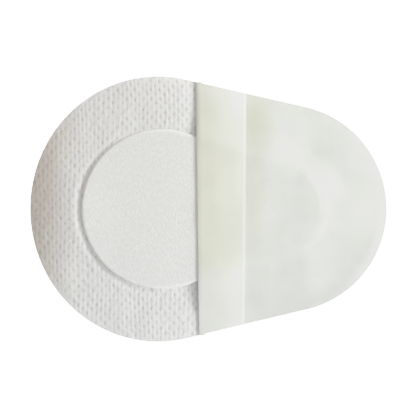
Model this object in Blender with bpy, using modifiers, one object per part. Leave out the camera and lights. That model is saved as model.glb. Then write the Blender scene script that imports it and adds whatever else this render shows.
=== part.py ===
"""Sterile adhesive eye patch, lying on its back with the skin side up.

An egg-shaped nonwoven backing carries a clear adhesive coat and, in the middle, a
smaller egg-shaped absorbent pad with a smooth facing.  One half of the release liner
still covers the narrow end.  Its inner end is folded back on itself as a pull tab.
The liner is flexible paper, so it is cut here into rigid strips across its length,
each hinged to the next, and the tab is hinged at the fold.

Metres, +Z up.  The origin is the bottom centre of the patch, and +X points to the
narrow end.
"""

import math

import bmesh
import bpy

# ---- outline of the patch ---------------------------------------------------
PATCH_LENGTH = 0.0800       # along X
PATCH_WIDTH = 0.0595        # along Y, at the broad end
BROAD_RADIUS_X = 0.0287     # the broad end is half an ellipse
NARROW_RADIUS = 0.0233      # the narrow end is part of a circle
OUTLINE_POINTS = 96

# ---- outline of the pad -----------------------------------------------------
PAD_LENGTH = 0.0542
PAD_TIP_X = 0.0259          # narrow tip of the pad
PAD_BROAD_RADIUS = 0.01785
PAD_NARROW_RADIUS = 0.0104
PAD_POINTS = 72

# ---- thicknesses, from the underside upwards --------------------------------
GAP = 0.0003                # clearance between layers that touch
BACKING_THICK = 0.0004
ADHESIVE_THICK = 0.00008
ADHESIVE_INSET = 0.0002
CORE_THICK = 0.0010
FACING_THICK = 0.00025
LINER_THICK = 0.00012

# ---- release liner ----------------------------------------------------------
FOLD_X = -0.0024            # crease where the liner turns back on itself
TAB_WIDTH = 0.0105          # crease to the tab's cut edge
FIRST_HINGE_X = 0.0086      # just past the cut edge of the tab
LAST_HINGE_X = 0.03215      # between the flat tip and the draped part
SLIT = 0.0003               # gap between neighbouring strips
DRAPE_START = 0.0005        # outside the pad's edge, where the liner starts to fall
DRAPE_RUN = 0.0055          # how far out it reaches the backing
LINER_INSET = 0.0001

# ---- derived levels and centres ---------------------------------------------
BROAD_X = -PATCH_LENGTH / 2 + BROAD_RADIUS_X
NARROW_X = PATCH_LENGTH / 2 - NARROW_RADIUS
PAD_BROAD_X = PAD_TIP_X - PAD_LENGTH + PAD_BROAD_RADIUS
PAD_NARROW_X = PAD_TIP_X - PAD_NARROW_RADIUS
ADHESIVE_Z = BACKING_THICK + GAP
CORE_Z = ADHESIVE_Z + ADHESIVE_THICK + GAP
FACING_Z = CORE_Z + CORE_THICK + GAP
LINER_HIGH_Z = FACING_Z + FACING_THICK + GAP
LINER_LOW_Z = CORE_Z
TAB_RISE = LINER_THICK + GAP
HIGH_AXIS_Z = LINER_HIGH_Z + LINER_THICK
LOW_AXIS_Z = LINER_LOW_Z + LINER_THICK
FOLD_AXIS_Z = HIGH_AXIS_Z + GAP / 2


def clear_scene():
    for thing in list(bpy.data.objects):
        bpy.data.objects.remove(thing, do_unlink=True)


def material(name, colour, roughness, transmission=0.0):
    mat = bpy.data.materials.new(name)
    mat.use_nodes = True
    shader = mat.node_tree.nodes["Principled BSDF"]
    shader.inputs["Base Color"].default_value = (*colour, 1.0)
    shader.inputs["Roughness"].default_value = roughness
    shader.inputs["Metallic"].default_value = 0.0
    shader.inputs["Transmission Weight"].default_value = transmission
    mat.diffuse_color = (*colour, 1.0)
    return mat


class Egg:
    """Convex hull of an ellipse (broad end, -X) and a circle (narrow end, +X)."""

    def __init__(self, broad_x, broad_rx, broad_ry, narrow_x, narrow_r):
        self.broad_x = broad_x
        self.broad_rx = broad_rx
        self.broad_ry = broad_ry
        self.narrow_x = narrow_x
        self.narrow_r = narrow_r
        self.turn = self._tangent_angle()
        self.flank_start = self._broad_point(self.turn)
        self.flank_end = self._narrow_point(self.turn)

    def _broad_reach(self, angle):
        across = math.hypot(
            self.broad_rx * math.cos(angle), self.broad_ry * math.sin(angle)
        )
        return self.broad_x * math.cos(angle) + across

    def _narrow_reach(self, angle):
        return self.narrow_x * math.cos(angle) + self.narrow_r

    def _broad_point(self, angle):
        c, s = math.cos(angle), math.sin(angle)
        across = math.hypot(self.broad_rx * c, self.broad_ry * s)
        x = self.broad_x + self.broad_rx ** 2 * c / across
        return x, self.broad_ry ** 2 * s / across

    def _narrow_point(self, angle):
        x = self.narrow_x + self.narrow_r * math.cos(angle)
        return x, self.narrow_r * math.sin(angle)

    def _tangent_angle(self):
        """Direction of the straight flank's normal, found by bisection."""
        low, high = 0.0, math.pi
        for _ in range(60):
            mid = (low + high) / 2
            if self._narrow_reach(mid) > self._broad_reach(mid):
                low = mid
            else:
                high = mid
        return (low + high) / 2

    def outline(self, count):
        """Points around the egg, anticlockwise, straight along both flanks."""
        points = []
        for i in range(count):
            angle = 2 * math.pi * i / count
            on_broad = self._broad_reach(angle) >= self._narrow_reach(angle)
            pick = self._broad_point if on_broad else self._narrow_point
            points.append(pick(angle))
        return points

    def half_width(self, x):
        """Half the egg's width at x."""
        if x <= self.flank_start[0]:
            along = min(1.0, abs(x - self.broad_x) / self.broad_rx)
            return self.broad_ry * math.sqrt(1.0 - along ** 2)
        if x >= self.flank_end[0]:
            along = min(1.0, (x - self.narrow_x) / self.narrow_r)
            return self.narrow_r * math.sqrt(1.0 - along ** 2)
        (x0, y0), (x1, y1) = self.flank_start, self.flank_end
        return y0 + (y1 - y0) * (x - x0) / (x1 - x0)


def pad_distance(x, y):
    """Signed distance from the pad's edge, negative over the pad."""
    along = PAD_NARROW_X - PAD_BROAD_X
    sine = (PAD_BROAD_RADIUS - PAD_NARROW_RADIUS) / along
    cosine = math.sqrt(1.0 - sine ** 2)
    px, py = x - PAD_BROAD_X, abs(y)
    k = cosine * px - sine * py
    if k < 0.0:
        return math.hypot(px, py) - PAD_BROAD_RADIUS
    if k > cosine * along:
        return math.hypot(px - along, py) - PAD_NARROW_RADIUS
    return cosine * py + sine * px - PAD_BROAD_RADIUS


def drape(x, y):
    """Height of the liner's underside: on the pad, then down to the backing."""
    t = (pad_distance(x, y) - DRAPE_START) / DRAPE_RUN
    t = min(1.0, max(0.0, t))
    fall = t * t * (3.0 - 2.0 * t)
    return LINER_HIGH_Z + (LINER_LOW_Z - LINER_HIGH_Z) * fall


def flat_sheet(name, points, bottom, thick, mat, origin=(0.0, 0.0, 0.0)):
    """A flat piece: a filled 2D outline given a thickness."""
    curve = bpy.data.curves.new(name, "CURVE")
    curve.dimensions = "2D"
    curve.fill_mode = "BOTH"
    curve.extrude = thick / 2
    spline = curve.splines.new("POLY")
    spline.points.add(len(points) - 1)
    for spot, (x, y) in zip(spline.points, points):
        spot.co = (x - origin[0], y - origin[1], 0.0, 1.0)
    spline.use_cyclic_u = True
    curve.materials.append(mat)
    thing = bpy.data.objects.new(name, curve)
    thing.location = (origin[0], origin[1], bottom + thick / 2)
    parts.objects.link(thing)
    return thing


def draped_strip(name, x0, x1, rise, origin, columns, rows, mat):
    """A strip of liner across the patch, following the pad beneath it."""
    bm = bmesh.new()
    bmesh.ops.create_grid(bm, x_segments=columns, y_segments=rows, size=1.0)
    for vert in bm.verts:
        x = x0 + (x1 - x0) * (vert.co.x + 1.0) / 2
        y = vert.co.y * (patch.half_width(x) - LINER_INSET)
        z = drape(x, y) + rise
        vert.co = (x - origin[0], y - origin[1], z - origin[2])
    mesh = bpy.data.meshes.new(name)
    bm.to_mesh(mesh)
    bm.free()
    mesh.shade_smooth()
    mesh.materials.append(mat)
    thing = bpy.data.objects.new(name, mesh)
    thing.location = origin
    parts.objects.link(thing)
    shell = thing.modifiers.new("thickness", "SOLIDIFY")
    shell.thickness = LINER_THICK
    shell.offset = 1.0
    return thing


def attach(child, parent):
    """Parent the child and keep it where it stands."""
    at = child.location.copy()
    up = parent
    while up is not None:
        at -= up.location
        up = up.parent
    child.parent = parent
    child.location = at


clear_scene()
parts = bpy.data.collections.new("eye_patch")
bpy.context.scene.collection.children.link(parts)

patch = Egg(BROAD_X, BROAD_RADIUS_X, PATCH_WIDTH / 2, NARROW_X, NARROW_RADIUS)
coat = Egg(
    BROAD_X,
    BROAD_RADIUS_X - ADHESIVE_INSET,
    PATCH_WIDTH / 2 - ADHESIVE_INSET,
    NARROW_X,
    NARROW_RADIUS - ADHESIVE_INSET,
)
island = Egg(
    PAD_BROAD_X, PAD_BROAD_RADIUS, PAD_BROAD_RADIUS, PAD_NARROW_X, PAD_NARROW_RADIUS
)

nonwoven = material("white_nonwoven", (0.78, 0.77, 0.75), 0.9)
clear_coat = material("clear_adhesive", (0.80, 0.79, 0.76), 0.35, 0.4)
felt = material("absorbent_felt", (0.80, 0.79, 0.77), 0.95)
face_cloth = material("smooth_facing", (0.82, 0.82, 0.80), 0.85)
glassine = material("release_paper", (0.80, 0.80, 0.74), 0.55)

# ---- backing, adhesive and pad ----------------------------------------------
outline = patch.outline(OUTLINE_POINTS)
pad_outline = island.outline(PAD_POINTS)
flat_sheet("backing", outline, 0.0, BACKING_THICK, nonwoven)
flat_sheet(
    "adhesive_coat", coat.outline(OUTLINE_POINTS), ADHESIVE_Z, ADHESIVE_THICK, clear_coat
)
flat_sheet("pad_core", pad_outline, CORE_Z, CORE_THICK, felt)
flat_sheet("pad_facing", pad_outline, FACING_Z, FACING_THICK, face_cloth)

# ---- release liner: flat tip ------------------------------------------------
tip_start = LAST_HINGE_X + SLIT / 2
tip_half = patch.half_width(tip_start) - LINER_INSET
tip_points = [(tip_start, -tip_half)]
tip_points += [
    (x - LINER_INSET, y)
    for x, y in sorted(outline, key=lambda p: p[1])
    if x - LINER_INSET > tip_start + LINER_INSET
]
tip_points.append((tip_start, tip_half))
tip = flat_sheet(
    "liner_tip", tip_points, LINER_LOW_Z, LINER_THICK, glassine, (tip_start, 0.0, 0.0)
)

# ---- release liner: draped strips, from the tip towards the fold ------------
pitch = (LAST_HINGE_X - FIRST_HINGE_X) / 3
hinges = [LAST_HINGE_X - pitch * i for i in range(4)]
ends = hinges[1:] + [FOLD_X]
previous = tip
for number, (right, left) in enumerate(zip(hinges, ends)):
    axis_z = LOW_AXIS_Z if number == 0 else HIGH_AXIS_Z
    strip = draped_strip(
        f"liner_strip_{4 - number}",
        left + SLIT / 2,
        right - SLIT / 2,
        0.0,
        (right, 0.0, axis_z),
        6 if number < 3 else 5,
        34,
        glassine,
    )
    attach(strip, previous)
    previous = strip

# ---- release liner: the end folded back as a tab ----------------------------
tab = draped_strip(
    "pull_tab",
    FOLD_X + SLIT / 2,
    FOLD_X + TAB_WIDTH,
    TAB_RISE,
    (FOLD_X, 0.0, FOLD_AXIS_Z),
    5,
    34,
    glassine,
)
attach(tab, previous)
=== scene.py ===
"""Looks of the adhesive eye patch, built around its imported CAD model.

Shapes are worked out in millimetres and scaled to metres when a mesh is made.
+X points to the narrow end, +Z out of the skin side.
"""

import math

import bpy
import numpy as np
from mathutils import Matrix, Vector
from mathutils.kdtree import KDTree


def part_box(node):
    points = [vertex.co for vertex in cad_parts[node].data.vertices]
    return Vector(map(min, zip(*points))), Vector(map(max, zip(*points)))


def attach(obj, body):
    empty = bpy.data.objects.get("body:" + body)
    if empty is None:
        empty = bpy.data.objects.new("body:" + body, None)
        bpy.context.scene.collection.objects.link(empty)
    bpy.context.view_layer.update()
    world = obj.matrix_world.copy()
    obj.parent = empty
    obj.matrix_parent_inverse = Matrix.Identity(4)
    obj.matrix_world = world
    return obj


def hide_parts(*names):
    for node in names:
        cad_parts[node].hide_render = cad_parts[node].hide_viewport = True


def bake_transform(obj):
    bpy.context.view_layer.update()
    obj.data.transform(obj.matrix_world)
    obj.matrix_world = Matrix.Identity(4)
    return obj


MM = 0.001

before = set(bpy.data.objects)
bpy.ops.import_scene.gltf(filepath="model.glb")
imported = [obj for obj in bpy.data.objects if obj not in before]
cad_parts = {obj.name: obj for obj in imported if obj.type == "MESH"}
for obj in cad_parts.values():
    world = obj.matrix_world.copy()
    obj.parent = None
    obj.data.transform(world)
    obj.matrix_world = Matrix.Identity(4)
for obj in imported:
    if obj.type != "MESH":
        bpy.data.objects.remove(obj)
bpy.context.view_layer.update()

# ---- sizes of the patch, in millimetres --------------------------------------
_, BACK_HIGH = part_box("backing")
HALF_LENGTH = BACK_HIGH.x / MM
BROAD_RY = BACK_HIGH.y / MM
BROAD_RX = 28.7            # the broad half ellipse, along the length
NARROW_R = 23.3            # the narrow end's circle
BROAD_X = -HALF_LENGTH + BROAD_RX
NARROW_X = HALF_LENGTH - NARROW_R

PAD_LOW, PAD_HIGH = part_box("pad_core")
PAD_BROAD_R = PAD_HIGH.y / MM
PAD_NARROW_R = 10.4
PAD_BROAD_X = PAD_LOW.x / MM + PAD_BROAD_R
PAD_NARROW_X = PAD_HIGH.x / MM - PAD_NARROW_R

FOLD_X = -2.42             # where the crease crosses the middle line
FOLD_LEAN = -0.0065        # the crease isn't quite square to the length
CUT_X = 8.2                # the same for the tab's cut edge
CUT_LEAN = 0.0139
HINGES = [32.15, 24.3, 16.45, 8.6]  # the CAD's peel lines, from the tip back
LAST_CUT = 4.6             # where the last flat section gives way to the fold
TIP_MARGIN = 0.06          # the paper stops this far short of the tip

FABRIC_THICK = 0.36
FABRIC_SEAT = 0.4          # top of the nonwoven under the pad
PAPER_THICK = 0.1
PAPER_MARGIN = 0.05        # the paper stops this far inside the outline
PAPER_SETTLE = 0.07        # how softly it comes down from the pad on the border
PAD_TOP = 2.4              # top of the pad in its middle
PAD_CROWN = 0.04           # how much lower its edge is
PAD_CROWN_REACH = 14.0     # how far in from its edge the crown is level
PAD_SEAT = 0.44            # where its underside rests


# ---- shared shape functions ---------------------------------------------------
def lerp(a, b, t):
    return a + (b - a) * t


def smooth(t):
    t = np.clip(t, 0.0, 1.0)
    return t * t * (3.0 - 2.0 * t)


def bell(x, middle, reach):
    """A smooth rise along one line, 1 at its middle."""
    return np.exp(-(((x - middle) / reach) ** 2))


def spot(x, y, middle, reach):
    """The same over the plane, with its reach along x and along y."""
    return np.exp(-(((x - middle[0]) / reach[0]) ** 2) - ((y - middle[1]) / reach[1]) ** 2)


class Clouds:
    """Smooth seeded noise over the plane, about -1 to 1, from a sum of plane waves."""

    def __init__(self, seed, size, waves=26):
        rng = np.random.default_rng(seed)
        turn = rng.uniform(0.0, 2.0 * np.pi, waves)
        pace = 2.0 * np.pi / size * rng.uniform(0.45, 1.35, waves)
        self.kx = pace * np.cos(turn)
        self.ky = pace * np.sin(turn)
        self.shift = rng.uniform(0.0, 2.0 * np.pi, waves)
        self.scale = 1.3 / math.sqrt(waves)

    def __call__(self, x, y):
        total = np.zeros(np.broadcast(x, y).shape)
        for kx, ky, shift in zip(self.kx, self.ky, self.shift):
            total += np.sin(kx * x + ky * y + shift)
        return total * self.scale


def egg_points(bx, brx, bry, nx, nr, count):
    """Outline of the hull of a broad half ellipse and a narrow circle."""
    angle = np.linspace(0.0, 2.0 * np.pi, count, endpoint=False)
    c, s = np.cos(angle), np.sin(angle)
    across = np.hypot(brx * c, bry * s)
    on_broad = bx * c + across >= nx * c + nr
    x = np.where(on_broad, bx + brx**2 * c / across, nx + nr * c)
    y = np.where(on_broad, bry**2 * s / across, nr * s)
    return np.stack([x, y], 1)


RIM = egg_points(BROAD_X, BROAD_RX, BROAD_RY, NARROW_X, NARROW_R, 2400)


def half_width(x):
    """Half the patch's width at x, read along its outline."""
    upper = RIM[RIM[:, 1] >= -1e-9]
    order = np.argsort(upper[:, 0])
    return np.interp(x, upper[order, 0], upper[order, 1])


def fine_rim():
    """The outline again, with a point at least every tenth of a millimetre."""
    closed = np.vstack([RIM, RIM[:1]])
    along = np.concatenate([[0.0], np.cumsum(np.linalg.norm(np.diff(closed, axis=0), axis=1))])
    steps = np.linspace(0.0, along[-1], 2600, endpoint=False)
    return np.stack([np.interp(steps, along, closed[:, k]) for k in (0, 1)], 1)


RIM_FINE = fine_rim()
RIM_TREE = KDTree(len(RIM_FINE))
for number, (rim_x, rim_y) in enumerate(RIM_FINE):
    RIM_TREE.insert((rim_x, rim_y, 0.0), number)
RIM_TREE.balance()


def rim_distance(x, y):
    """Distance in from the outline, zero outside it, and the nearest rim point."""
    flat_x, flat_y = np.ravel(x), np.ravel(y)
    inside = np.abs(flat_y) < half_width(flat_x)
    inside &= np.abs(flat_x) < HALF_LENGTH
    gap = np.zeros(len(flat_x))
    near = np.zeros(len(flat_x), int)
    for i, (px, py) in enumerate(zip(flat_x, flat_y)):
        _, near[i], far = RIM_TREE.find((px, py, 0.0))
        gap[i] = far
    gap[~inside] = 0.0
    return gap.reshape(np.shape(x)), near.reshape(np.shape(x))


def pad_distance(x, y):
    """Signed distance from the pad's edge, negative over the pad."""
    along = PAD_NARROW_X - PAD_BROAD_X
    sine = (PAD_BROAD_R - PAD_NARROW_R) / along
    cosine = math.sqrt(1.0 - sine**2)
    px, py = x - PAD_BROAD_X, np.abs(y)
    k = cosine * px - sine * py
    broad = np.hypot(px, py) - PAD_BROAD_R
    narrow = np.hypot(px - along, py) - PAD_NARROW_R
    flank = cosine * py + sine * px - PAD_BROAD_R
    return np.where(k < 0.0, broad, np.where(k > cosine * along, narrow, flank))


slow_swell = Clouds(3, 16.0)
fabric_swell = Clouds(5, 7.0)
paper_swell = Clouds(8, 11.0)
paper_ripple = Clouds(13, 5.0)
pad_swell = Clouds(21, 9.0)


def border_level(x, y, rim):
    """Top of the nonwoven without its holes, away from the pad.

    It climbs from the rim to a crest near the pad, highest at the broad end, and is
    lower where the release paper still covers it.
    """
    around = np.arctan2(y, BROAD_X - x)
    end = bell(around, -0.08, 0.58) * smooth((BROAD_X - x) / 6.0)
    free = smooth((-0.6 - x) / 5.6)
    upper = smooth(y / 20.0 + 0.5)
    flank = np.where(x > BROAD_X, 1.0, np.sin(around) ** 6)
    flank = flank * (1.0 - 0.8 * smooth((x - 12.0) / 18.0))
    lift = lerp(0.0, 0.18, upper) + 0.35 * flank + 1.47 * end + 0.05 * slow_swell(x, y)
    edge = FABRIC_SEAT + lerp(0.9, 0.8, upper) * (1.0 - end) - 0.1 * flank
    edge = edge - lerp(-0.1, 0.3, smooth(y / 8.0 + 0.3)) * smooth((x - 14.0) / 10.0)
    ridge = lerp(0.13, 0.4, upper) * smooth((x + 34.0) / 24.0) * free
    t = np.clip(rim / lerp(8.0, 9.6, end), 0.0, 1.0)
    return edge + ridge * smooth(rim / 3.0 + 0.35) + lift * (1.0 - (1.0 - t) ** 2)


def fabric_level(x, y, rim):
    """Top of the nonwoven without its holes.

    Round the pad its domed border has a groove with a raised lip outside it, a dip
    beside the crease and, at the broad end, a foot that climbs against the pad's edge.
    Under the pad it lies on its seat.
    """
    gap = pad_distance(x, y)
    border = border_level(x, y, rim)
    border = border + 0.03 * fabric_swell(x, y) * smooth(rim / 3.0)
    stuck = paper_level(x, y, rim) - 0.16 * smooth(rim / 2.0) - 0.05
    border = lerp(border, np.maximum(border, stuck), smooth((x - 0.5) / 7.0))
    tip = bell(y, -1.0, 6.5) * smooth((-20.0 - x) / 5.0)
    groove = lerp(0.1, 0.19, tip) * bell(np.maximum(gap, 0.0), 0.6 * tip, 0.95)
    lip = 0.08 * bell(gap, 2.0, 0.8) * smooth((-12.0 - x) / 10.0)
    border = border - groove + lip
    dip = spot(x, y, (-2.6, -20.0), (1.9, 4.5))
    border = border - 0.08 * dip * smooth(gap / 1.2)
    foot = np.maximum(border, pad_crest(x) - 0.42)
    border = lerp(border, foot, (1.0 - smooth(gap / 0.95)) * smooth((-6.0 - x) / 6.0))
    return lerp(FABRIC_SEAT, border, smooth((gap + 0.9) / 0.9))


def pad_crest(x):
    """Height of the pad's middle line: plumper at the broad end, pressed by the paper."""
    return PAD_TOP - 0.12 * smooth((-6.0 - x) / 18.0) - 0.45 * smooth((x - 1.0) / 25.0)


def pad_level(x, y):
    """Top of the pad: slightly crowned, rounded over at its cut edge.

    The edge is softer under the release paper, and the broad end is a little plumper.
    """
    inside = np.maximum(-pad_distance(x, y), 0.0)
    crown = 1.0 - np.clip(1.0 - inside / PAD_CROWN_REACH, 0.0, 1.0) ** 2
    covered = smooth((x + 5.0) / 5.0)
    edge = np.clip(1.0 - inside / lerp(0.5, 1.2, covered), 0.0, 1.0)
    top = pad_crest(x) - PAD_CROWN * (1.0 - crown) + 0.012 * pad_swell(x, y)
    top = top + 0.24 * spot(x, y, (-29.0, -1.0), (5.0, 8.0))
    return top - lerp(0.21, 0.42, covered) * (1.0 - np.sqrt(1.0 - edge**2))


def paper_level(x, y, rim):
    """Underside of the release paper, draped from the pad to the border."""
    gap = pad_distance(x, y)
    inside = np.maximum(-gap, 0.0)
    crown = 1.0 - np.clip(1.0 - inside / PAD_CROWN_REACH, 0.0, 1.0) ** 2
    loose = smooth(rim / 4.0)
    clear = 0.07 + 0.03 * smooth((x + 1.0) / 3.5) + 0.07 * smooth((x - 2.5) / 11.5)
    high = pad_crest(x) - PAD_CROWN * (1.0 - crown) + clear
    low = border_level(x, y, rim) + 0.06 * smooth(rim / 2.0) + 0.05
    side = smooth((x - 1.0) / 16.0)
    upper = smooth(y / 6.0 + 0.5)
    run = lerp(lerp(8.6, 5.6, upper), lerp(11.5, 12.0, upper), side)
    along = np.clip((gap + 0.9) / (run + 0.9), 0.0, 1.0)
    fall = lerp(smooth(along), 1.0 - (1.0 - along) ** 1.45, side)
    level = lerp(high, low, fall)
    ledge = lerp(0.11, 0.04, smooth(y / 10.0 + 0.6))
    level = level - ledge * smooth((gap + 0.2) / 2.0) * smooth((x - 12.0) / 8.0) * loose
    level = level + 0.2 * spot(x, y, (14.5, 19.0), (4.0, 6.0))
    level = level + 0.1 * spot(x, y, (22.0, -17.0), (4.5, 6.0))
    level = level - 0.0016 * np.clip(x - 9.0, 0.0, 22.0) * y
    level = level + 0.035 * (paper_swell(x, y) + 0.2 * paper_ripple(x, y)) * loose
    spare = level - low
    return low + 0.5 * (spare + np.sqrt(spare**2 + PAPER_SETTLE**2))


# ---- mesh helpers --------------------------------------------------------------
SHARP_ANGLE = math.radians(50.0)


def new_mesh(name, points, faces, slots, materials, flat_xy=None):
    """A mesh object from points in millimetres, with a flat map for its patterns."""
    mesh = bpy.data.meshes.new(name)
    mesh.from_pydata((np.asarray(points) * MM).tolist(), [], faces)
    mesh.update()
    for material in materials:
        mesh.materials.append(material)
    mesh.polygons.foreach_set("material_index", np.asarray(slots, np.int32))
    flat_xy = np.asarray(points)[:, :2] if flat_xy is None else np.asarray(flat_xy)
    corner = np.zeros(len(mesh.loops), np.int32)
    mesh.loops.foreach_get("vertex_index", corner)
    layer = mesh.uv_layers.new(name="flat")
    layer.data.foreach_set("uv", flat_xy[corner].astype(np.float32).ravel())
    mesh.shade_smooth()
    mesh.set_sharp_from_angle(angle=SHARP_ANGLE)
    thing = bpy.data.objects.new(name, mesh)
    bpy.context.scene.collection.objects.link(thing)
    return thing


def store(piece, name, values):
    """Keeps one number per vertex for a material to read."""
    attribute = piece.data.attributes.new(name, "FLOAT", "POINT")
    attribute.data.foreach_set("value", np.asarray(values, np.float32))


def two_sided(name, top, bottom, flat, tint, materials):
    """A closed sheet from two grids of points, (rows, columns, 3) each."""
    rows, columns = top.shape[:2]
    index = np.arange(rows * columns).reshape(rows, columns)
    under = index + rows * columns
    faces, slots = [], []

    def quads(a, b, c, d, slot):
        picked = np.stack([a.ravel(), b.ravel(), c.ravel(), d.ravel()], 1)
        faces.extend(picked.tolist())
        slots.extend([slot] * len(picked))

    quads(index[:-1, :-1], index[1:, :-1], index[1:, 1:], index[:-1, 1:], 0)
    quads(under[:-1, :-1], under[:-1, 1:], under[1:, 1:], under[1:, :-1], 1)
    quads(index[0, :-1], index[0, 1:], under[0, 1:], under[0, :-1], 2)
    quads(index[-1, 1:], index[-1, :-1], under[-1, :-1], under[-1, 1:], 2)
    quads(index[1:, 0], index[:-1, 0], under[:-1, 0], under[1:, 0], 2)
    quads(index[:-1, -1], index[1:, -1], under[1:, -1], under[:-1, -1], 2)
    points = np.concatenate([top.reshape(-1, 3), bottom.reshape(-1, 3)])
    twice = np.concatenate([flat.reshape(-1, 2)] * 2)
    piece = new_mesh(name, points, faces, slots, materials, twice)
    store(piece, "tint", np.concatenate([tint.ravel()] * 2))
    return piece


def trimmed_grid(x, y, inside, snap):
    """Cells of a grid that lie in an outline, their corners snapped to it.

    x and y are the corner positions, inside says which corners are in, and snap is
    the place on the outline for each corner.  Returns positions and faces.
    """
    rows, columns = x.shape
    index = np.arange(rows * columns).reshape(rows, columns)
    cells = np.stack(
        [index[:-1, :-1], index[1:, :-1], index[1:, 1:], index[:-1, 1:]], -1
    ).reshape(-1, 4)
    flags = inside.ravel()[cells]
    cells = cells[flags.sum(1) >= 1]
    place = np.stack([x.ravel(), y.ravel()], 1)
    outside = ~inside.ravel()
    place[outside] = snap.reshape(-1, 2)[outside]
    used = np.unique(cells)
    lookup = np.full(rows * columns, -1)
    lookup[used] = np.arange(len(used))
    return place[used], lookup[cells], used


def rim_edges(cells):
    """Directed border edges of a set of quads."""
    a = cells[:, [0, 1, 2, 3]].ravel()
    b = cells[:, [1, 2, 3, 0]].ravel()
    forward = set(zip(a.tolist(), b.tolist()))
    return [(i, j) for i, j in forward if (j, i) not in forward]


def closed_from_cells(name, place, cells, top, bottom, materials):
    """A closed piece with the same cells above and below and a wall round the rim."""
    count = len(place)
    faces = cells.tolist() + (cells[:, ::-1] + count).tolist()
    slots = [0] * len(cells) + [1] * len(cells)
    for i, j in rim_edges(cells):
        faces.append([j, i, i + count, j + count])
        slots.append(2)
    upper = np.column_stack([place, top])
    lower = np.column_stack([place, bottom])
    return new_mesh(name, np.concatenate([upper, lower]), faces, slots, materials)


# ---- material helpers ------------------------------------------------------------
class Nodes:
    """Short calls for building a node tree around one Principled shader."""

    def __init__(self, name):
        self.material = bpy.data.materials.new(name)
        self.material.use_nodes = True
        self.tree = self.material.node_tree
        self.shader = self.tree.nodes["Principled BSDF"]
        self.flat = self.tree.nodes.new("ShaderNodeUVMap")
        self.flat.uv_map = "flat"

    def link(self, source, target):
        self.tree.links.new(source, target)

    def put(self, node, socket, value):
        if isinstance(value, bpy.types.NodeSocket):
            self.link(value, node.inputs[socket])
        elif value is not None:
            node.inputs[socket].default_value = value

    def place(self, scale=(1.0, 1.0), turn=0.0):
        node = self.tree.nodes.new("ShaderNodeMapping")
        self.link(self.flat.outputs["UV"], node.inputs["Vector"])
        node.inputs["Scale"].default_value = (scale[0], scale[1], 1.0)
        node.inputs["Rotation"].default_value = (0.0, 0.0, turn)
        return node.outputs["Vector"]

    def noise(self, size, detail=3.0, rough=0.55, stretch=(1.0, 1.0), turn=0.0):
        """Noise whose features are about size millimetres across."""
        node = self.tree.nodes.new("ShaderNodeTexNoise")
        self.link(self.place(stretch, turn), node.inputs["Vector"])
        node.inputs["Scale"].default_value = 1.0 / size
        node.inputs["Detail"].default_value = detail
        node.inputs["Roughness"].default_value = rough
        return node.outputs["Fac"]

    def math(self, what, a, b=None, clamp=False):
        node = self.tree.nodes.new("ShaderNodeMath")
        node.operation = what
        node.use_clamp = clamp
        self.put(node, 0, a)
        self.put(node, 1, b)
        return node.outputs[0]

    def ramp(self, fac, stops):
        """A colour ramp through (position, (r, g, b)) stops."""
        node = self.tree.nodes.new("ShaderNodeValToRGB")
        self.link(fac, node.inputs["Fac"])
        bar = node.color_ramp
        while len(bar.elements) < len(stops):
            bar.elements.new(0.5)
        for element, (position, colour) in zip(bar.elements, stops):
            element.position = position
            element.color = (*colour, 1.0)
        return node.outputs["Color"]

    def span(self, fac, low, high, to_low=0.0, to_high=1.0):
        node = self.tree.nodes.new("ShaderNodeMapRange")
        self.link(fac, node.inputs["Value"])
        for socket, value in zip(
            ("From Min", "From Max", "To Min", "To Max"), (low, high, to_low, to_high)
        ):
            node.inputs[socket].default_value = value
        return node.outputs["Result"]

    def mix(self, fac, a, b, mode="MIX"):
        node = self.tree.nodes.new("ShaderNodeMix")
        node.data_type = "RGBA"
        node.blend_type = mode
        self.put(node, 0, fac)
        for socket, value in ((6, a), (7, b)):
            if isinstance(value, tuple):
                value = (*value, 1.0)
            self.put(node, socket, value)
        return node.outputs[2]

    def attribute(self, name):
        node = self.tree.nodes.new("ShaderNodeAttribute")
        node.attribute_name = name
        return node.outputs["Fac"]

    def bump(self, height, strength, distance, previous=None):
        """Bump with its height in millimetres."""
        node = self.tree.nodes.new("ShaderNodeBump")
        node.inputs["Strength"].default_value = strength
        node.inputs["Distance"].default_value = distance * MM
        self.link(height, node.inputs["Height"])
        if previous is not None:
            self.link(previous, node.inputs["Normal"])
        return node.outputs["Normal"]


def nonwoven_material(name, with_holes):
    """Soft white spunlaced rayon: fine crossing fibres, with painted shade in the holes."""
    n = Nodes(name)
    fibres = n.noise(0.5, 4.0, 0.6, (5.0, 0.55), math.radians(14))
    crossing = n.noise(0.5, 4.0, 0.6, (5.0, 0.55), math.radians(-19))
    across = n.noise(0.6, 3.0, 0.6, (0.7, 4.0), math.radians(6))
    tangle = n.math("ADD", n.math("ADD", fibres, crossing), n.math("MULTIPLY", across, 0.7))
    blotch = n.noise(6.0, 3.0, 0.5)
    colour = n.ramp(
        n.span(tangle, 0.95, 1.75),
        [(0.0, (0.745, 0.742, 0.73)), (0.5, (0.825, 0.823, 0.81)), (1.0, (0.885, 0.883, 0.875))],
    )
    colour = n.mix(n.span(blotch, 0.35, 0.65, 0.0, 0.35), colour, (0.81, 0.808, 0.796))
    if with_holes:
        # Painted shade: the hole attribute darkens the holes in colour.
        shade = n.math("MULTIPLY", n.attribute("hole"), 0.6)
        colour = n.mix(shade, colour, (0.45, 0.435, 0.41))
    # Painted shade: darker and beige towards the broad end.
    colour = n.mix(n.attribute("broad_end_shade"), colour, (0.80, 0.745, 0.69), "MULTIPLY")
    n.link(colour, n.shader.inputs["Base Color"])
    n.shader.inputs["Roughness"].default_value = 0.88
    n.shader.inputs["Specular IOR Level"].default_value = 0.25
    n.shader.inputs["Sheen Weight"].default_value = 0.15
    n.shader.inputs["Sheen Roughness"].default_value = 0.5
    n.link(n.bump(tangle, 0.55, 0.12), n.shader.inputs["Normal"])
    return n.material


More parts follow.
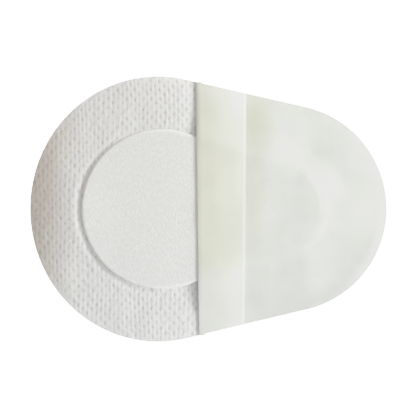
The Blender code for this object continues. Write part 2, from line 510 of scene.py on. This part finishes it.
def facing_material(name):
    """Smooth thermal-bonded facing: very fine random fibres, faint mottling, and a painted
    highlight along its cut edge.
    """
    n = Nodes(name)
    one = n.noise(0.62, 4.0, 0.65, (2.2, 0.8), math.radians(38))
    two = n.noise(0.62, 4.0, 0.65, (2.2, 0.8), math.radians(-42))
    grain = n.math("ADD", one, two)
    blotch = n.noise(5.0, 4.0, 0.55)
    colour = n.ramp(
        n.span(grain, 0.82, 1.18),
        [(0.0, (0.76, 0.764, 0.743)), (0.5, (0.813, 0.816, 0.797)), (1.0, (0.87, 0.873, 0.853))],
    )
    colour = n.mix(n.span(blotch, 0.38, 0.62, 0.0, 0.4), colour, (0.80, 0.803, 0.785))
    # Painted highlight: lighter along the pad's cut edge.
    colour = n.mix(n.attribute("edge"), colour, (0.95, 0.955, 0.94))
    n.link(colour, n.shader.inputs["Base Color"])
    n.shader.inputs["Roughness"].default_value = 0.85
    n.shader.inputs["Specular IOR Level"].default_value = 0.25
    n.shader.inputs["Sheen Weight"].default_value = 0.1
    n.link(n.bump(grain, 0.6, 0.08), n.shader.inputs["Normal"])
    return n.material


def felt_material(name):
    """Cut edge of the absorbent felt: loose fibres lying in layers."""
    n = Nodes(name)
    tangle = n.noise(0.35, 5.0, 0.7, (1.0, 1.6), math.radians(25))
    colour = n.ramp(
        n.span(tangle, 0.3, 0.7), [(0.0, (0.70, 0.69, 0.66)), (1.0, (0.82, 0.815, 0.79))]
    )
    n.link(colour, n.shader.inputs["Base Color"])
    n.shader.inputs["Roughness"].default_value = 0.95
    n.shader.inputs["Specular IOR Level"].default_value = 0.2
    n.link(n.bump(tangle, 0.8, 0.2), n.shader.inputs["Normal"])
    return n.material


def paper_material(name, light, dark, yellow_and_crease_shade, gloss):
    """Glassine: cloudy formation, fine fibre grain, satin surface."""
    n = Nodes(name)
    clouds = n.noise(9.0, 4.0, 0.55)
    drift = n.noise(4.0, 3.0, 0.5, (0.5, 1.0), math.radians(12))
    mixed = n.math("ADD", n.math("MULTIPLY", clouds, 0.65), n.math("MULTIPLY", drift, 0.35))
    colour = n.ramp(n.span(mixed, 0.36, 0.64), [(0.0, dark), (1.0, light)])
    # The tint attribute yellows the paper and, beside the crease, also paints shade.
    stained = n.math("MULTIPLY", n.attribute("tint"), 1.0, True)
    colour = n.mix(stained, colour, yellow_and_crease_shade, "MULTIPLY")
    grain = n.noise(0.5, 3.0, 0.6)
    colour = n.mix(n.span(grain, 0.3, 0.7, 0.0, 0.10), colour, (0.86, 0.86, 0.83))
    n.link(colour, n.shader.inputs["Base Color"])
    n.link(n.span(clouds, 0.3, 0.7, gloss + 0.06, gloss - 0.06), n.shader.inputs["Roughness"])
    n.shader.inputs["Specular IOR Level"].default_value = 0.28
    n.link(n.bump(drift, 0.2, 0.2, n.bump(grain, 0.25, 0.03)), n.shader.inputs["Normal"])
    return n.material


def plain_material(name, colour, rough):
    n = Nodes(name)
    n.shader.inputs["Base Color"].default_value = (*colour, 1.0)
    n.shader.inputs["Roughness"].default_value = rough
    return n.material


# ---- nonwoven backing with its adhesive ---------------------------------------------
COLUMN = 0.975             # between neighbouring columns of holes
ROW = 2.13                 # between holes in one column
COLUMN_STEPS = 4           # grid cells from one column to the next
ROW_OFFSETS = (-0.32, 0.0, 0.32)  # grid lines round each row of holes
MOST_COLUMNS, MOST_ROWS = 160, 60  # holes that get a depth of their own
FABRIC_INSET = 0.07        # grid corners nearer the outline than this snap to it


def hole_pattern(u, v):
    """Depth of the pressed holes and height of the ribs between them."""
    column = np.round(u / COLUMN)
    du = u - column * COLUMN
    offset = np.where(np.mod(column, 2) == 1, ROW / 2, 0.0)
    row = np.round((v - offset) / ROW)
    dv = v - offset - row * ROW
    rng = np.random.default_rng(17)
    uneven = rng.uniform(0.55, 1.15, (MOST_COLUMNS, MOST_ROWS))
    strength = uneven[column.astype(int) + MOST_COLUMNS // 2, row.astype(int) + MOST_ROWS // 2]
    hole = bell(du, 0.0, 0.16) * np.exp(-(np.abs(dv / 0.3) ** 2.5)) * strength
    rib = -np.cos(2.0 * np.pi * du / COLUMN)
    return hole, rib


def make_backing():
    """The nonwoven sheet, with its holes pressed in from both sides."""
    step_u = COLUMN / COLUMN_STEPS
    across = int(HALF_LENGTH / step_u) + 3
    up = int(BROAD_RY / (ROW / 2)) + 2
    rows = np.arange(-up, up + 1)[:, None] * ROW / 2 + np.array(ROW_OFFSETS)
    u, v = np.meshgrid(np.arange(-across, across + 1) * step_u, rows.ravel(), indexing="ij")
    bend_u, bend_v = Clouds(31, 13.0), Clouds(32, 11.0)
    x = u + 0.16 * bend_u(u, v)
    y = v + 0.2 * bend_v(u, v)
    rim, near = rim_distance(x, y)
    snap = RIM_FINE[near.ravel()].reshape(*near.shape, 2)
    place, cells, used = trimmed_grid(x, y, rim > FABRIC_INSET, snap)
    rim = np.where(rim > FABRIC_INSET, rim, 0.0).ravel()[used]
    hole, rib = hole_pattern(u.ravel()[used], v.ravel()[used])
    px, py = place[:, 0], place[:, 1]
    level = fabric_level(px, py, rim)
    fuzz = Clouds(41, 1.3, 40)(px, py)
    calm = smooth(rim / 0.5) * 0.75 + 0.25
    top = level + calm * (0.012 * rib - 0.12 * hole + 0.02 * fuzz)
    bottom = np.maximum(level - FABRIC_THICK, 0.005) + 0.06 * hole * calm
    materials = [skin_side, outer_side, skin_side]
    piece = closed_from_cells("nonwoven_backing", place, cells, top, bottom, materials)
    # The hole attribute paints shade in the holes, weaker on the underside.
    store(piece, "hole", np.concatenate([hole, hole * 0.4]))
    # Painted shade: the broad end is darker and beige, and further in towards +Y.
    upward, downward = np.maximum(py, 0.0), np.minimum(py, 0.0)
    broad_end_shade = smooth((-27.5 - px + 0.06 * upward + 0.1 * downward) / 11.5)
    store(piece, "broad_end_shade", np.concatenate([broad_end_shade, broad_end_shade]))
    return piece


# ---- pad ------------------------------------------------------------------------------
FACING_THICK = 0.2
FACING_STEP = 0.3          # grid step of the facing
CORE_STEP = 0.5            # and of the felt core
CORE_INSET = 0.12          # the core stops this far inside the facing
CORE_DROP = 0.24           # its top is this far below the facing's


def pad_cells(step, inset):
    """Grid cells over the pad, trimmed to an outline inset from the pad's edge."""
    xs = np.arange(PAD_LOW.x / MM - 2 * step, PAD_HIGH.x / MM + 2 * step, step)
    ys = np.arange(-PAD_BROAD_R - 2 * step, PAD_BROAD_R + 2 * step, step)
    x, y = np.meshgrid(xs, ys, indexing="ij")
    gap = pad_distance(x, y)
    nudge = 0.01
    gx = (pad_distance(x + nudge, y) - pad_distance(x - nudge, y)) / (2 * nudge)
    gy = (pad_distance(x, y + nudge) - pad_distance(x, y - nudge)) / (2 * nudge)
    snap = np.stack([x - (gap + inset) * gx, y - (gap + inset) * gy], -1)
    place, cells, _ = trimmed_grid(x, y, gap < -(inset + 0.12), snap)
    return place, cells


def make_pad():
    """The facing sheet and the felt core under it."""
    place, cells = pad_cells(FACING_STEP, 0.0)
    top = pad_level(place[:, 0], place[:, 1]) + 0.006 * Clouds(51, 1.6, 40)(*place.T)
    bottom = top - FACING_THICK
    looks = [facing_look, felt_look, facing_look]
    facing = closed_from_cells("pad_facing_sheet", place, cells, top, bottom, looks)
    # Painted highlight: the edge attribute lightens the facing along its cut edge.
    edge = 0.75 * smooth((pad_distance(*place.T) + 0.7) / 0.5)
    store(facing, "edge", np.concatenate([edge, edge]))
    place, cells = pad_cells(CORE_STEP, CORE_INSET)
    top = pad_level(place[:, 0], place[:, 1]) - CORE_DROP
    bottom = np.full(len(place), PAD_SEAT)
    core = closed_from_cells("pad_core_felt", place, cells, top, bottom, [felt_look] * 3)
    return facing, core


# ---- release paper ----------------------------------------------------------------------
ACROSS = 150               # points across every piece of paper
SECTION_COLUMNS = 30       # and along one flat section
UNDER_ROWS = 16            # along the paper under the tab, up to the turn
TURN_UP_ROWS = 8           # round the lower half of the turn
TURN_OVER_ROWS = 13        # and round its upper half
TAB_ROWS = 37              # along the tab
TAB_END_ROWS = 9           # and over its last few hundredths, at the cut edge


def paper_tint(x, y):
    """How yellow the paper is on the sheet, 0 to 1: strongest beside the tab."""
    near_top = spot(x, y, (10.5, 19.5), (3.4, 5.5))
    near_cut = spot(x, y, (10.0, 3.0), (3.0, 12.0))
    return np.clip(0.75 * near_top + 0.45 * near_cut + 0.06, 0.0, 1.0)


def tab_tint(gone, width, y):
    """The same for the tab, gone past the crease: deepest at the crease, where it is partly
    painted shade.
    """
    crease = bell(gone, 0.0, 1.3)
    middle = smooth((y + 17.0) / 7.0) * bell(np.clip(y - 8.0, 0.0, 40.0), 0.0, 13.0)
    upper = spot(y, gone, (22.0, 1.5), (7.0, 2.5))
    fade = (1.0 - 0.5 * smooth(gone / width)) * (1.0 - 0.25 * bell(gone, 0.0, 2.2))
    sheet_part = (0.12 + 0.68 * middle + 0.4 * upper) * fade
    # The crease term is painted shade of the crease's rounding, darker and yellow-green.
    return np.clip(sheet_part + 0.05 * crease * smooth((y + 18.0) / 10.0), 0.0, 1.0)


def paper_section(name, x0, x1, look):
    """One section of the paper between two lines across the patch."""
    at_tip = x1 >= HALF_LENGTH - 0.2
    t = np.linspace(0.0, 1.0, SECTION_COLUMNS)
    xs = lerp(x0, x1, np.sin(t * np.pi / 2) if at_tip else t)
    v = np.linspace(-1.0, 1.0, ACROSS)
    x = np.repeat(xs[:, None], ACROSS, 1)
    half = np.maximum(half_width(xs) - PAPER_MARGIN, 0.02)
    y = half[:, None] * v[None, :]
    rim, _ = rim_distance(x, y)
    low = paper_level(x, y, rim)
    top = np.stack([x, y, low + PAPER_THICK], -1)
    bottom = np.stack([x, y, low], -1)
    flat = np.stack([x, y], -1)
    return two_sided(name, top, bottom, flat, paper_tint(x, y), look)


def fold_line(y):
    """Where the crease lies."""
    return FOLD_X + FOLD_LEAN * y


def cut_line(y):
    """Where the tab's cut edge lies."""
    return CUT_X + CUT_LEAN * y


LOOP_UNDER = 0.35          # how far the paper takes to turn up into the crease
LOOP_OVER = 1.25           # and to level out again above it
LOOP_MIDDLE = 0.09         # height of the crease's outermost line
LOOP_LENGTH = 2.0          # of paper in the turn
LOOP_UNDER_LENGTH = 0.25   # of which this much is in its lower half
TAB_STARTS_AT = (-23.0, -13.0, 13.0, 20.0)
TAB_STARTS = (0.19, 0.22, 0.23, 0.48)  # the tab's height above the sheet at the crease
TAB_END = 0.15             # and at the cut edge
TAB_ARCHES_AT = (-20.0, 0.0, 20.0)
TAB_ARCHES = (0.13, 0.05, 0.28)  # how far the tab springs up between the two


def folded_section(name, x0, look):
    """The paper from x0 back to the crease, round it, and out to the cut edge.

    Also returns how far each point has gone round the crease, from 0 to 1.
    """
    v = np.linspace(-1.0, 1.0, ACROSS)
    one = np.ones(ACROSS)
    mids, guides, flats, tints = [], [], [], []

    def row_y(x):
        return (half_width(x) - PAPER_MARGIN) * v

    def level_at(x, y):
        rim, _ = rim_distance(x, y)
        return paper_level(x, y, rim) + PAPER_THICK / 2

    def add(x, y, z, guide_x, guide_z, flat_x, tint):
        tints.append(tint)
        mids.append(np.stack([x, y, z], -1))
        guides.append(np.stack([guide_x * one, 0.0 * one, guide_z * one], -1))
        flats.append(np.stack([flat_x, y], -1))

    def over_height(x, gone, width):
        """Height of the top layer above the bottom one, gone past the crease."""
        t = gone / width
        arch = np.interp(y_fold, TAB_ARCHES_AT, TAB_ARCHES)
        start = np.interp(y_fold, TAB_STARTS_AT, TAB_STARTS)
        apart = lerp(start, TAB_END, t) + arch * 4.0 * t * (1.0 - t)
        apart = apart - 0.04 * smooth((t - 0.95) / 0.05)
        turned = np.sqrt(1.0 - np.clip(1.0 - gone / LOOP_OVER, 0.0, 1.0) ** 2)
        return LOOP_MIDDLE + (apart - LOOP_MIDDLE) * turned

    y_fold = row_y(FOLD_X * one)
    fold = fold_line(y_fold)
    width = cut_line(y_fold) - fold
    start_under = fold + LOOP_UNDER
    for t in np.linspace(1.0, 0.0, UNDER_ROWS):
        x = lerp(start_under, x0 * one, t)
        y = row_y(x)
        add(x, y, level_at(x, y), 0.0, 1.0, x, paper_tint(x, y))
    for a in np.linspace(0.0, np.pi / 2, TURN_UP_ROWS)[1:]:
        x = fold + LOOP_UNDER * (1.0 - math.sin(a))
        z = level_at(x, y_fold) + LOOP_MIDDLE * (1.0 - math.cos(a))
        flat_x = start_under - 2.0 * LOOP_UNDER_LENGTH * a / np.pi
        add(x, y_fold, z, math.sin(a), math.cos(a), flat_x, tab_tint(0.0, width, y_fold))
    over_length = LOOP_LENGTH - LOOP_UNDER_LENGTH
    for a in np.linspace(np.pi / 2, np.pi, TURN_OVER_ROWS)[1:]:
        gone = LOOP_OVER * (1.0 - math.sin(a)) * one
        x = fold + gone
        z = level_at(x, y_fold) + over_height(x, gone, width)
        flat_x = start_under - LOOP_UNDER_LENGTH - over_length * (2.0 * a / np.pi - 1.0)
        tint = tab_tint(gone, width, y_fold)
        add(x, y_fold, z, math.sin(a), math.cos(a), flat_x, tint)
    steps = np.concatenate(
        [np.linspace(0.0, 0.93, TAB_ROWS), np.linspace(0.94, 1.0, TAB_END_ROWS)]
    )[1:]
    for t in steps:
        gone = lerp(LOOP_OVER * one, width, t)
        x = fold + gone
        y = row_y(x)
        z = level_at(x, y) + over_height(x, gone, width)
        flat_x = start_under - LOOP_LENGTH - (gone - LOOP_OVER)
        add(x, y, z, 0.0, -1.0, flat_x, tab_tint(gone, width, y))
    mids, guides, flats = np.array(mids), np.array(guides), np.array(flats)
    normals = sheet_normals(mids, guides)
    outer = mids + normals * PAPER_THICK / 2
    inner = mids - normals * PAPER_THICK / 2
    tints = np.array(tints)
    piece = two_sided(name, outer[::-1], inner[::-1], flats[::-1], tints[::-1], look)
    share = smooth((start_under - flats[:, :, 0]) / LOOP_LENGTH)[::-1].ravel()
    return piece, np.concatenate([share, share])


def sheet_normals(points, guide):
    """Unit normals of a grid of points, on the side that guide points to."""
    along = np.gradient(points, axis=0)
    across = np.gradient(points, axis=1)
    normal = np.cross(along, across)
    normal /= np.linalg.norm(normal, axis=-1, keepdims=True) + 1e-12
    side = np.sign((normal * guide).sum(-1, keepdims=True))
    side[side == 0] = 1.0
    return normal * side


# ---- build everything ----------------------------------------------------------------------
skin_side = nonwoven_material("nonwoven_skin_side", True)
outer_side = nonwoven_material("nonwoven_outer_side", True)
facing_look = facing_material("smooth_facing")
felt_look = felt_material("absorbent_felt")
# The third colour is the paper's yellow, and beside the crease also painted shade.
paper_white = paper_material(
    "paper_outer_side", (0.757, 0.77, 0.744), (0.714, 0.727, 0.697), (0.93, 0.945, 0.80), 0.55
)
paper_coated = paper_material(
    "paper_coated_side", (0.808, 0.813, 0.784), (0.773, 0.778, 0.744), (0.92, 0.935, 0.78), 0.48
)
paper_edge = plain_material("paper_cut_edge", (0.835, 0.84, 0.82), 0.7)
PAPER_LOOKS = [paper_white, paper_coated, paper_edge]

backing = make_backing()
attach(backing, "patch")
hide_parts("backing", "adhesive_coat")

facing, core = make_pad()
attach(facing, "patch")
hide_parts("pad_facing")
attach(core, "patch")
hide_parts("pad_core")

# Each flat section bends at one peel line, so the cuts lie half way between the lines.
NODES = ["liner_tip", "liner_strip_4", "liner_strip_3", "liner_strip_2"]
MIDDLES = [(near + far) / 2 for near, far in zip(HINGES[:-1], HINGES[1:])]
CUTS = [HALF_LENGTH - TIP_MARGIN, *MIDDLES, LAST_CUT]
for number, node in enumerate(NODES):
    right, left = CUTS[number], CUTS[number + 1]
    sheet = paper_section(f"release_paper_{4 - number}", left, right, PAPER_LOOKS)
    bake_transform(sheet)
    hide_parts(node)

fold, turned = folded_section("release_paper_fold", CUTS[-1], PAPER_LOOKS)
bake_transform(fold)
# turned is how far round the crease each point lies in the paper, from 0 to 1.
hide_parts("liner_strip_1", "pull_tab")

# ---- floor, light and camera -----------------------------------------------------------
bpy.ops.mesh.primitive_plane_add(size=3.0, location=(0.0, 0.0, -0.00002))
floor = bpy.context.object
floor.name = "floor"
pale = bpy.data.materials.new("pale_floor")
pale.use_nodes = True
pale_inputs = pale.node_tree.nodes["Principled BSDF"].inputs
pale_inputs["Base Color"].default_value = (0.35, 0.35, 0.35, 1)
pale_inputs["Roughness"].default_value = 0.9
pale_inputs["Emission Color"].default_value = (1, 0.98, 0.96, 1)
pale_inputs["Emission Strength"].default_value = 1.8
floor.data.materials.append(pale)


def softbox(name, location, size, power, colour):
    """A round soft light that points at the middle of the patch."""
    light = bpy.data.lights.new(name, "AREA")
    light.shape = "DISK"
    light.size = size
    light.energy = power
    light.color = colour
    lamp = bpy.data.objects.new(name, light)
    lamp.location = location
    lamp.rotation_euler = (-Vector(location)).to_track_quat("-Z", "Y").to_euler()
    bpy.context.scene.collection.objects.link(lamp)


softbox("key_light", (0.502, 0.05, 0.235), 0.26, 2.63, (0.985, 0.99, 1.0))
softbox("fill_light", (0.1, 0.0, 0.62), 0.5, 1.06, (0.985, 0.995, 1.0))
softbox("cool_light", (-0.02, -0.17, 0.07), 0.12, 0.028, (0.45, 0.75, 1.0))

# Bright up to a little above the horizon, and above that darker towards -X.
world = bpy.data.worlds.new("studio")
world.use_nodes = True
sky = world.node_tree
sky_way = sky.nodes.new("ShaderNodeTexCoord")
sky_split = sky.nodes.new("ShaderNodeSeparateXYZ")
sky_span = sky.nodes.new("ShaderNodeMapRange")
sky_span.inputs["From Min"].default_value = -1.0
sky_mix = sky.nodes.new("ShaderNodeMix")
sky_mix.data_type = "RGBA"
sky_mix.inputs[6].default_value = (0.17, 0.14, 0.11, 1.0)
sky_mix.inputs[7].default_value = (0.52, 0.525, 0.52, 1.0)
sky_rise = sky.nodes.new("ShaderNodeMapRange")
sky_rise.inputs["From Min"].default_value = 0.09
sky_rise.inputs["From Max"].default_value = 0.17
sky_band = sky.nodes.new("ShaderNodeMix")
sky_band.data_type = "RGBA"
sky_band.inputs[6].default_value = (1.8, 1.8, 1.8, 1.0)
sky.links.new(sky_way.outputs["Generated"], sky_split.inputs[0])
sky.links.new(sky_split.outputs["X"], sky_span.inputs["Value"])
sky.links.new(sky_span.outputs["Result"], sky_mix.inputs[0])
sky.links.new(sky_split.outputs["Z"], sky_rise.inputs["Value"])
sky.links.new(sky_rise.outputs["Result"], sky_band.inputs[0])
sky.links.new(sky_mix.outputs[2], sky_band.inputs[7])
sky.links.new(sky_band.outputs[2], sky.nodes["Background"].inputs["Color"])
bpy.context.scene.world = world

camera_data = bpy.data.cameras.new("camera")
camera_data.lens = 150.0
camera_data.sensor_width = 36.0
camera_data.clip_start = 0.01
camera_data.clip_end = 10.0
camera = bpy.data.objects.new("camera", camera_data)
FRAME_WIDTH = 0.09419      # what the picture spans at the level of the border
DISTANCE = FRAME_WIDTH * camera_data.lens / camera_data.sensor_width
camera.location = (0.000404, -0.000292, DISTANCE + 0.0012)
camera.rotation_euler = (0.0, 0.0, math.radians(-0.38))
bpy.context.scene.collection.objects.link(camera)
bpy.context.scene.camera = camera

# A gentle highlight curve keeps some tone in the white paper.
BRIGHTEST = 2.0            # light level at the top end of the curve
HIGHLIGHTS = [(0.8, 0.8), (1.0, 0.885), (1.25, 0.925), (1.6, 0.96), (1.75, 1.0)]
view = bpy.context.scene.view_settings
view.view_transform = "Standard"
view.use_curve_mapping = True
view.curve_mapping.white_level = (BRIGHTEST, BRIGHTEST, BRIGHTEST)
shoulder = view.curve_mapping.curves[3]  # the curve that R, G and B share
for level, shown in HIGHLIGHTS:
    shoulder.points.new(level / BRIGHTEST, shown)
for point in shoulder.points:
    point.handle_type = "VECTOR"
view.curve_mapping.update()
